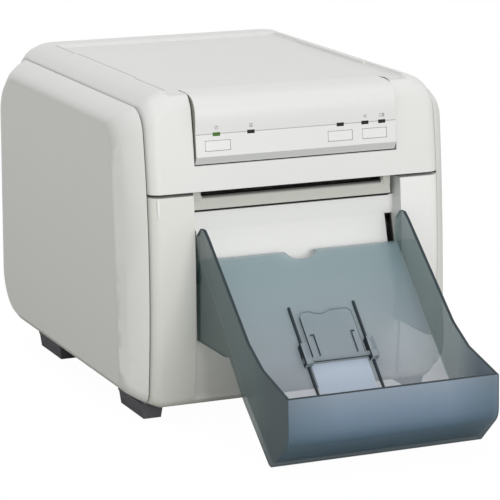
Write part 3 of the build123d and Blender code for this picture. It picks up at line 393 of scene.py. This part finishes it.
def guide_moulded(name, colour, mouth_z):
    """The exit guide's grey plastic, with painted shade up inside the mouth."""
    mouth_half, side_fade = 0.0756, 0.0006
    dark_from, dark_full = mouth_z - 0.0028, mouth_z - 0.0008
    finish = Finish(name)
    # Painted shade: near black up inside the mouth.
    inside = finish.rise(finish.across(), mouth_half + side_fade, mouth_half)
    deep = finish.rise(finish.along("Z"), dark_from, dark_full) * inside
    plain = finish.clouded(colour, 0.97, detail=2.0)
    return finish.eroded(finish.mix(deep, plain, rgb(0.03, 0.03, 0.028)), 0.5)


def front_moulded(name, colour, gap_z):
    """The lower front's plastic with painted shade: a near-black line in the gap over the recess, a darker
    left pillar and a darker foot.
    """
    gap_half, gap_end, end_fade = 0.0014, 0.0834, 0.0002
    pillar_from, pillar_full = -0.0845, -0.0870
    shade_from, shade_full = 0.13, 0.03
    finish = Finish(name, IOR=1.42)
    height = finish.along("Z")
    # Painted shade: the left pillar and the foot darker.
    left_pillar_shade = finish.rise(finish.along("X"), pillar_from, pillar_full)
    lower_front_shade = finish.rise(height, shade_from, shade_full) * 0.6
    between = finish.rise(finish.across(), gap_end + end_fade, gap_end)
    # Painted shadow: a near-black line in the gap over the recess.
    gap = finish.close_to(height, gap_z, gap_half) * between
    plain = finish.mix(left_pillar_shade, finish.clouded(colour), rgb(0.745, 0.745, 0.710))
    plain = finish.mix(lower_front_shade, plain, rgb(0.640, 0.640, 0.600))
    return finish.eroded(finish.mix(gap, plain, rgb(0.02, 0.02, 0.02)), 0.48)


def cover_moulded(name, colour, rail_x):
    """The top cover's plastic with a fine line of painted shade along the left rail, which steps out at both
    ends.
    """
    step, line_half = 0.0015, 0.0008
    line_middle, line_reach = front + 0.1445, 0.1205
    straight_middle, straight_reach = front + 0.1504, 0.0675
    on_top = 0.2530
    finish = Finish(name, IOR=1.42)
    along = finish.along("Y")
    on_line = finish.close_to(along, line_middle, line_reach)
    straight = finish.close_to(along, straight_middle, straight_reach)
    # Painted shade: a fine dark line along the left rail's edge.
    line = finish.close_to(finish.along("X") - straight * step, rail_x, line_half)
    line = line * on_line * (finish.along("Z") > on_top)
    return finish.eroded(finish.mix(line, finish.clouded(colour), shade(colour, 0.66)), 0.48)


white_cover = moulded("white_cover", rgb(0.775, 0.778, 0.762), roughness=0.48, index=1.42)
# Side panels: a paler copy of the white cover as painted light, with painted shade towards the floor.
side_cover_light_and_shade = moulded("side_cover_light_and_shade", rgb(0.800, 0.803, 0.787), roughness=0.48, index=1.42, foot_shade_tone=0.90)
panel_cover = hood_moulded("panel_cover", rgb(0.775, 0.778, 0.768))
# Hood ends: a dark copy of the white as painted shade in the groove beside them.
hood_end_shade = moulded("hood_end_shade", rgb(0.30, 0.31, 0.27), roughness=0.6)
sign_ink = moulded("sign_ink", rgb(0.36, 0.36, 0.35), roughness=0.6, relief=0.000001)
label_film = moulded("label_film", rgb(0.47, 0.55, 0.65), roughness=0.3, relief=0.000001)
key_cap = moulded("key_cap", rgb(0.80, 0.80, 0.79), roughness=0.33, relief=0.000004)
# Paler than the white cover as painted light for the shaded recess; its left pillar and foot get painted
# shade.
front_cover_light_and_shade = front_moulded("front_cover_light_and_shade", rgb(0.850, 0.853, 0.838), recess_top - 0.001)
top_plastic = cover_moulded("top_plastic", rgb(0.775, 0.778, 0.762), -0.1003)
gap_shade = moulded("gap_shade", rgb(0.02, 0.02, 0.02), roughness=0.8, relief=0.000001)
guide_plastic = guide_moulded("guide_plastic", rgb(0.56, 0.56, 0.515), 0.1740)
black_plastic = moulded("black_plastic", rgb(0.022, 0.022, 0.024), roughness=0.45)
gear_plastic = moulded("gear_plastic", rgb(0.80, 0.78, 0.70), roughness=0.34, relief=0.000004)
zinc_sheet = metal("zinc_sheet", rgb(0.56, 0.57, 0.58), 0.42, "Y")
zinc_cross = metal("zinc_cross", rgb(0.55, 0.56, 0.57), 0.42, "X")
ground_steel = metal("ground_steel", rgb(0.70, 0.70, 0.71), 0.18, "X")
can_steel = metal("can_steel", rgb(0.48, 0.49, 0.50), 0.32, "X")
cast_fins = metal("cast_fins", rgb(0.66, 0.67, 0.69), 0.40, "Y")
head_ceramic = moulded("head_ceramic", rgb(0.74, 0.70, 0.60), roughness=0.22, relief=0.000002)
foot_rubber = rubber("foot_rubber", rgb(0.095, 0.095, 0.108))
roller_rubber = rubber("roller_rubber", rgb(0.03, 0.03, 0.032), 0.6)
board_lacquer = circuit_board("board_lacquer")
lit_lens = lens_plastic("lit_lens", rgb(0.055, 0.135, 0.012), rgb(0.25, 0.8, 0.1))
dark_lens = moulded("dark_lens", rgb(0.020, 0.021, 0.018), roughness=0.45, relief=0.000001, index=1.22)
tray_tint = smoke_plastic("tray_tint", 0.53)
tray_rim = smoke_edge("tray_rim")
flap_tint = smoke_plastic("flap_tint", 0.40)
paper_wind = wound("paper_wind", rgb(0.86, 0.86, 0.84), rgb(0.62, 0.61, 0.58), "paper_roll", 0.0004)
ribbon_new = wound("ribbon_new", rgb(0.20, 0.05, 0.12), rgb(0.05, 0.02, 0.03), "supply_ribbon", 0.0003)
ribbon_used = wound("ribbon_used", rgb(0.14, 0.06, 0.10), rgb(0.04, 0.02, 0.03), "take_up_ribbon", 0.0003)

finish_of = {
    "base_pan": zinc_cross, "board_shelf": zinc_cross, "capstan_gear": gear_plastic,
    "capstan_roller": ground_steel, "cutter_carriage": black_plastic, "cutter_rod": ground_steel,
    "data_socket": ground_steel, "drawer_pan": zinc_cross, "fan_frame": black_plastic,
    "fan_rotor": black_plastic, "feed_motor": can_steel, "feed_pinion": gear_plastic,
    "fixed_blade": ground_steel, "front_bridge": zinc_cross,
    "head_frame": zinc_sheet, "head_pivot_rod": ground_steel, "heat_sink": cast_fins,
    "idler_gear": gear_plastic, "inner_slides": zinc_sheet, "left_drawer_plate": zinc_sheet,
    "left_frame_plate": zinc_sheet, "main_board": board_lacquer, "middle_slides": zinc_sheet,
    "outer_slides": zinc_sheet, "panel_board": board_lacquer, "paper_roll": paper_wind,
    "pinch_bracket": zinc_cross, "pinch_roller": roller_rubber, "platen_roller": roller_rubber,
    "power_inlet": black_plastic, "power_supply": zinc_cross, "rear_screws": ground_steel,
    "ribbon_motor": can_steel, "ribbon_pinion": gear_plastic, "right_drawer_plate": zinc_sheet,
    "right_frame_plate": zinc_sheet, "roll_holders": gear_plastic, "roller_bushes": gear_plastic,
    "round_blade": ground_steel, "supply_ribbon": ribbon_new, "supply_spool": gear_plastic,
    "take_up_gear": gear_plastic, "take_up_ribbon": ribbon_used, "take_up_spool": gear_plastic,
    "thermal_head": head_ceramic,
}

for name, material in finish_of.items():
    for place in nodes[name].material_slots:
        place.material = material


# Smooth mouldings: a welded copy of each visible moulding with fine edge radii

edge_bend = 40.0  # edges that bend by more degrees than this get a radius
corner_radius = 0.0009  # for the corners of the hood, its keys and its lenses


def welded(name, bend=38.0):
    """A copy of a CAD piece with shared corners and sharp edges marked."""
    work = bmesh.new()
    work.from_mesh(nodes[name].data)
    bmesh.ops.remove_doubles(work, verts=work.verts, dist=weld_reach)
    bmesh.ops.dissolve_limit(work, angle_limit=math.radians(0.4), verts=work.verts, edges=work.edges)
    for face in work.faces:
        face.smooth = True
    mark_sharp(work, bend)
    return work


def mark_sharp(work, bend):
    """Marks the edges where two faces meet at more than an angle in degrees."""
    for edge in work.edges:
        if len(edge.link_faces) == 2:
            edge.smooth = edge.calc_face_angle(0.0) < math.radians(bend)


def weigh_corners(work, share):
    """Gives corners that run front to back, and the hood's ends, a larger radius than other edges."""
    weight = work.edges.layers.float.new("bevel_weight_edge")
    for line in work.edges:
        run = line.verts[1].co - line.verts[0].co
        at_end = all(abs(abs(vert.co.x) - hood_half) < 0.0001 for vert in line.verts)
        turned = len(line.link_faces) == 2 and line.calc_face_angle(0.0) > math.radians(edge_bend)
        if turned:
            line[weight] = 1.0 if at_end or abs(run.y) > 0.95 * run.length else share


def made_piece(work, name, materials):
    """Turns a bmesh into an object of the scene."""
    mesh = bpy.data.meshes.new(name)
    work.to_mesh(mesh)
    work.free()
    for material in materials:
        mesh.materials.append(material)
    piece = bpy.data.objects.new(name, mesh)
    bpy.context.scene.collection.objects.link(piece)
    return piece


def finished(work, node, *materials, radius=0.0, weighted=False):
    """Turns a bmesh into a piece that stands for a CAD node and rides with it."""
    piece = made_piece(work, node + "_skin", materials)
    if radius:
        edge = piece.modifiers.new("edge_radius", "BEVEL")
        edge.limit_method = "WEIGHT" if weighted else "ANGLE"
        edge.angle_limit = math.radians(edge_bend)
        edge.width = radius
        edge.segments = 2
        edge.use_clamp_overlap = True
    level = piece.modifiers.new("flat_faces", "WEIGHTED_NORMAL")
    level.keep_sharp = True
    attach(piece, nodes[node]["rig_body"])
    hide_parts(node)
    return piece


# Each moulding with its finish and the radius of its edges
mouldings = {
    "top_cover": (top_plastic, 0.0004),
    "control_panel": (panel_cover, 0.0003),
    "drawer_front": (front_cover_light_and_shade, 0.0004),
    "right_side_panel": (side_cover_light_and_shade, 0.0),
    "left_side_panel": (side_cover_light_and_shade, 0.0),
    "rear_panel": (white_cover, 0.0),
    "exit_guide": (guide_plastic, 0.0003),
    "rubber_feet": (foot_rubber, 0.0006),
    "power_button": (key_cap, 0.0002),
    "left_button": (key_cap, 0.0002),
    "right_button": (key_cap, 0.0002),
    "power_lamp_lens": (lit_lens, 0.0002),
    "signal_lamp_lenses": (dark_lens, 0.0002),
}

panel_row = (
    "control_panel", "power_button", "left_button", "right_button", "power_lamp_lens", "signal_lamp_lenses",
)


def cut(work, place, out, drop=True):
    """Cuts a bmesh along a plane and, unless told not to, drops what lies beyond it."""
    parts = work.verts[:] + work.edges[:] + work.faces[:]
    bmesh.ops.bisect_plane(work, geom=parts, plane_co=place, plane_no=out, clear_outer=drop)


def facing(mesh):
    """Finds where a point lands on a piece's mesh, coming from the front."""
    work = bmesh.new()
    work.from_mesh(mesh)
    tree = BVHTree.FromBMesh(work)
    work.free()
    return lambda x, z: tree.ray_cast(Vector((x, -1.0, z)), Vector((0.0, 1.0, 0.0)))[0]


on_plain_hood = facing(nodes["control_panel"].data)


def fuller_shoulder(work):
    """Brings the hood's curve above the crease out until it stands proud of the cover's wings."""
    slices, fullness = 15, 4.0
    on_front, under_top = 0.0004, 0.00002  # how near a corner lies to the front, and below the top edge
    rise = hood_top - hood_crease
    near, back = on_plain_hood(0.0, hood_crease).y, front + 0.036
    for level in range(1, slices):
        height = hood_crease + rise * (1.0 - (1.0 - level / slices) ** 2)
        cut(work, (0, 0, height), (0, 0, 1), drop=False)
    for vert in work.verts:
        if hood_crease < vert.co.z < hood_top - under_top:
            hit = on_plain_hood(0.0, vert.co.z)
            if hit and abs(hit.y - vert.co.y) < on_front:
                share = (vert.co.z - hood_crease) / rise
                full = back - (back - near) * (1.0 - share ** fullness) ** (1.0 / fullness)
                vert.co.y = min(vert.co.y, full)
    work.normal_update()
    mark_sharp(work, 24.0)


def material_index(node, face):
    """0 for a piece's own finish, 1 for the hood's ends in painted shade, 2 for faces that lie in deep
    shade, painted near black.
    """
    middle = face.calc_center_median()
    at_end = abs(face.normal.x) > 0.9 and abs(abs(middle.x) - hood_half) < 0.0002
    if node in panel_row and at_end:
        return 1
    if node == "exit_guide" and face.normal.z < -0.5:
        return 2
    upward = face.normal.z > 0.7
    over_recess = abs(middle.x) < hood_half and abs(middle.z - recess_top) < 0.003
    return 2 if node == "drawer_front" and upward and over_recess else 0


pieces = {}
for node, (material, radius) in mouldings.items():
    on_panel = node in panel_row
    work = welded(node, 16.0 if on_panel else 38.0)
    if on_panel and not node.endswith("button"):
        fuller_shoulder(work)
    for face in work.faces:
        face.material_index = material_index(node, face)
    if on_panel:
        weigh_corners(work, radius / corner_radius)
        radius = corner_radius
    finishes = (material, hood_end_shade, gap_shade)
    pieces[node] = finished(work, node, *finishes, radius=radius, weighted=on_panel)


# Return walls of the top cover beside the hood's ends

def return_wall(side):
    """A plate under a wing of the cover, cut to its outline. Side is 1 for the right, -1 for the left."""
    near, thickness = 0.0848, 0.001
    back, foot = front + 0.046, 0.205
    inset = 0.0006
    work = bmesh.new()
    work.from_mesh(nodes["top_cover"].data)
    cut(work, (side * near, 0, 0), (-side, 0, 0))
    cut(work, (side * (near + thickness), 0, 0), (side, 0, 0))
    hull = bmesh.ops.convex_hull(work, input=work.verts[:])
    unused = hull["geom_interior"] + hull["geom_unused"]
    spare = {part for part in unused if isinstance(part, bmesh.types.BMVert)}
    bmesh.ops.delete(work, geom=list(spare), context="VERTS")
    kept = {part for part in hull["geom"] if isinstance(part, bmesh.types.BMFace)}
    bmesh.ops.delete(work, geom=[face for face in work.faces if face not in kept], context="FACES")
    for place, out in (((0, back, 0), (0, 1, 0)), ((0, 0, foot), (0, 0, -1))):
        cut(work, place, out)
        bmesh.ops.holes_fill(work, edges=[edge for edge in work.edges if edge.is_boundary])
    bmesh.ops.translate(work, verts=work.verts[:], vec=(0.0, inset, -inset))
    bmesh.ops.recalc_face_normals(work, faces=work.faces[:])
    return work


def loose_piece(work, name, node, material):
    """A small piece that stands for no CAD node and rides with one."""
    piece = made_piece(work, name, (material,))
    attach(piece, nodes[node]["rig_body"])


loose_piece(return_wall(1.0), "right_return_wall", "top_cover", white_cover)
loose_piece(return_wall(-1.0), "left_return_wall", "top_cover", white_cover)


# Signs over the lamps, latch mark on the lower front's left pillar

def laid_on(work, land, x, z, stand):
    """Carries a flat shape drawn in X and Z to a piece's front, where it stands proud."""
    sunk = 0.5  # share of its relief that goes into the piece
    bmesh.ops.subdivide_edges(work, edges=work.edges[:], cuts=1, use_grid_fill=True)
    for vert in work.verts:
        vert.co = land(x + vert.co.x, z + vert.co.y) - Vector((0.0, stand, 0.0))
    skin = bmesh.ops.extrude_face_region(work, geom=work.faces[:])["geom"]
    back = [part for part in skin if isinstance(part, bmesh.types.BMVert)]
    bmesh.ops.translate(work, verts=back, vec=(0.0, stand * (1.0 + sunk), 0.0))
    bmesh.ops.recalc_face_normals(work, faces=work.faces[:])
    return work


def frame_shape(width, height, line, sides=4):
    """A flat outline of a box, or of a regular shape with another number of sides."""
    radius, turn = (math.sqrt(0.5), math.pi / 4) if sides == 4 else (0.5, math.pi / 2)
    work = bmesh.new()
    bmesh.ops.create_circle(work, cap_ends=True, segments=sides, radius=radius)
    bmesh.ops.rotate(work, verts=work.verts[:], matrix=Matrix.Rotation(turn, 3, "Z"))
    bmesh.ops.scale(work, verts=work.verts[:], vec=(width, height, 1.0))
    middle = work.faces[:]
    bmesh.ops.inset_region(work, faces=middle, thickness=line, use_even_offset=True, use_boundary=True)
    bmesh.ops.delete(work, geom=middle, context="FACES")
    return work


def bar_shape(width, height, work=None, at=(0.0, 0.0)):
    """A flat bar, alone or added to another flat shape."""
    work = work or bmesh.new()
    made = bmesh.ops.create_grid(work, x_segments=1, y_segments=1, size=0.5)["verts"]
    bmesh.ops.scale(work, verts=made, vec=(width, height, 1.0))
    bmesh.ops.translate(work, verts=made, vec=(at[0], at[1], 0.0))
    return work


on_hood = facing(pieces["control_panel"].data)
sign_z, sign_relief, sign_line = 0.2272, 0.00015, 0.0004
# Name and X of each sign, its outline, then the bar in it and the bar's place
signs = (
    ("power_sign", -0.0669, (0.0030, 0.0030, sign_line, 16), (sign_line, 0.0014), (0.0, 0.0008)),
    ("paper_sign", -0.0385, (0.0024, 0.0030, sign_line), (0.0010, 0.0010), (0.0004, -0.0004)),
    ("fault_sign", 0.0576, (0.0036, 0.0032, sign_line, 3), None, None),
    ("ribbon_sign", 0.0721, (0.0038, 0.0026, sign_line), (0.0009, 0.0020), (0.0008, 0.0)),
)
for name, x, outline, bar, place in signs:
    shape = frame_shape(*outline)
    if bar:
        shape = bar_shape(*bar, shape, place)
    shape = laid_on(shape, on_hood, x, sign_z, sign_relief)
    loose_piece(shape, name, "control_panel", sign_ink)

on_front = facing(pieces["drawer_front"].data)
latch_x, latch_width, latch_relief = -0.1160, 0.0016, 0.0013
for name, z, height in (("latch_rib", 0.1700, 0.0115), ("latch_dot", 0.1622, 0.0012)):
    shape = laid_on(bar_shape(latch_width, height), on_front, latch_x, z, latch_relief)
    loose_piece(shape, name, "drawer_front", key_cap)


# Blank film on the tray floor below the flap

def tray_film():
    """A thin film that follows the floor between its two ribs."""
    left, right = -0.0240, 0.0228
    upper, lower = 0.0978, 0.1275  # down the floor from its head
    proud = 0.0001
    work = bmesh.new()
    work.from_mesh(nodes["print_tray"].data)
    bmesh.ops.remove_doubles(work, verts=work.verts, dist=weld_reach)
    cut(work, (right, 0, 0), (1, 0, 0))
    cut(work, (left, 0, 0), (-1, 0, 0))
    cut(work, floor_head + down_floor * upper, -down_floor)
    cut(work, floor_head + down_floor * lower, down_floor)
    under = [face for face in work.faces if face.normal.z < 0.3]
    bmesh.ops.delete(work, geom=under, context="FACES")
    bmesh.ops.translate(work, verts=work.verts[:], vec=(0.0, -proud, proud))
    return work


loose_piece(tray_film(), "tray_film", "print_tray", label_film)


# Clear tray and its flap: the narrow edges of their walls look dark

def softer_notch(work):
    """Draws the finger notch in the tray floor's upper edge shallower."""
    notch_half, notch_depth, drawn_in = 0.03, 0.012, 0.35
    edge = 0.00005  # corners nearer than this to the floor's upper edge stay
    for vert in work.verts:
        below = (vert.co - floor_head).dot(down_floor)
        if abs(vert.co.x) < notch_half and edge < below < notch_depth:
            vert.co -= down_floor * below * drawn_in


def clear_piece(node, is_rim, *materials):
    """A clear moulding whose narrow edges have the second material."""
    work = welded(node)
    if node == "print_tray":
        softer_notch(work)
    for face in work.faces:
        face.normal_update()
        face.material_index = 1 if is_rim(face) else 0
    finished(work, node, *materials)


tray_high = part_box("print_tray")[1]


def tray_edge(face):
    """Whether a face of the tray is the narrow edge of a wall or of a rib beside the flap."""
    thickest, cheek_width = 0.003, 0.0027
    rib_near, rib_far = 0.018, 0.034  # X, to either side
    wall_back, wall_low = front - 0.09, 0.055
    across = [vert.co.x for vert in face.verts]
    narrow = max(across) - min(across) < thickest
    out = abs(across[0])
    on_cheek = narrow and out > tray_high.x - cheek_width and abs(face.normal.x) < 0.5
    on_rib = narrow and rib_near < out < rib_far and face.normal.z < 0.98
    ahead = all(vert.co.z > wall_low and vert.co.y < wall_back for vert in face.verts)
    on_front = ahead and face.normal.z > 0.6
    return on_cheek or on_front or on_rib


def flap_edge(face):
    """Whether a face of the flap is part of its outline."""
    barrel, largest = 0.0045, 0.0002  # radius round the pin, and area of an edge's face
    from_pin = face.calc_center_median() - flap_pin
    at_pin = math.hypot(from_pin.y, from_pin.z) < barrel
    sideways = abs(face.normal.dot(off_floor)) < 0.3
    return sideways and not at_pin and face.calc_area() < largest


clear_piece("print_tray", tray_edge, tray_tint, tray_rim)
clear_piece("stopper_flap", flap_edge, flap_tint, tray_rim)


# Studio

def white_world():
    """Soft grey light all round, which the camera and reflections see as plain white."""
    lit_strength, seen_strength = 0.56, 1.0
    world = bpy.data.worlds.new("studio")
    world.use_nodes = True
    bpy.context.scene.world = world
    tree = world.node_tree
    background = tree.nodes["Background"]
    path = tree.nodes.new("ShaderNodeLightPath")
    seen = path.outputs["Is Camera Ray"]
    for ray in ("Is Glossy Ray", "Is Transmission Ray"):
        either = tree.nodes.new("ShaderNodeMath")
        either.operation = "MAXIMUM"
        tree.links.new(seen, either.inputs[0])
        tree.links.new(path.outputs[ray], either.inputs[1])
        seen = either.outputs[0]
    strength = tree.nodes.new("ShaderNodeMapRange")
    strength.inputs["To Min"].default_value = lit_strength
    strength.inputs["To Max"].default_value = seen_strength
    tree.links.new(seen, strength.inputs["Value"])
    tree.links.new(strength.outputs["Result"], background.inputs["Strength"])
    background.inputs["Color"].default_value = (1.0, 1.0, 1.0, 1.0)


def lay_floor():
    """A wide pale floor that takes a faint shadow and otherwise looks as white as the world."""
    radius, glow_strength, glow_share = 9.0, 1.04, 0.94
    work = bmesh.new()
    bmesh.ops.create_circle(work, cap_ends=True, segments=64, radius=radius)
    mesh = bpy.data.meshes.new("floor")
    work.to_mesh(mesh)
    work.free()
    floor = bpy.data.objects.new("floor", mesh)
    bpy.context.scene.collection.objects.link(floor)
    paint = Finish("floor_paint", Roughness=0.9)
    paint.feed(Base_Color=paint.mix(paint.noise(3.0), rgb(0.50, 0.505, 0.46), rgb(0.52, 0.525, 0.48)))
    white = {"Color": rgb(1.0, 1.0, 1.0), "Strength": glow_strength}
    glow = paint.node("ShaderNodeEmission", None, white, output="Emission")
    path = paint.node("ShaderNodeLightPath", output="Is Camera Ray")
    shader = Link(paint, paint.shader.outputs[0])
    blend = paint.node("ShaderNodeMixShader", None, {"Fac": path * glow_share, 1: shader, 2: glow})
    paint.tree.links.new(blend.socket, paint.tree.nodes["Material Output"].inputs["Surface"])
    mesh.materials.append(paint.material)


place_camera()
white_world()
lay_floor()
soft_lamp("key", (0.16, -2.5, 0.70), (0.0, -0.05, 0.12), 1.2, 28.5)
soft_lamp("top", (-0.65, 0.2, 2.05), (0.0, 0.0, 0.1), 1.6, 10.5)

bpy.context.scene.view_settings.view_transform = "Standard"
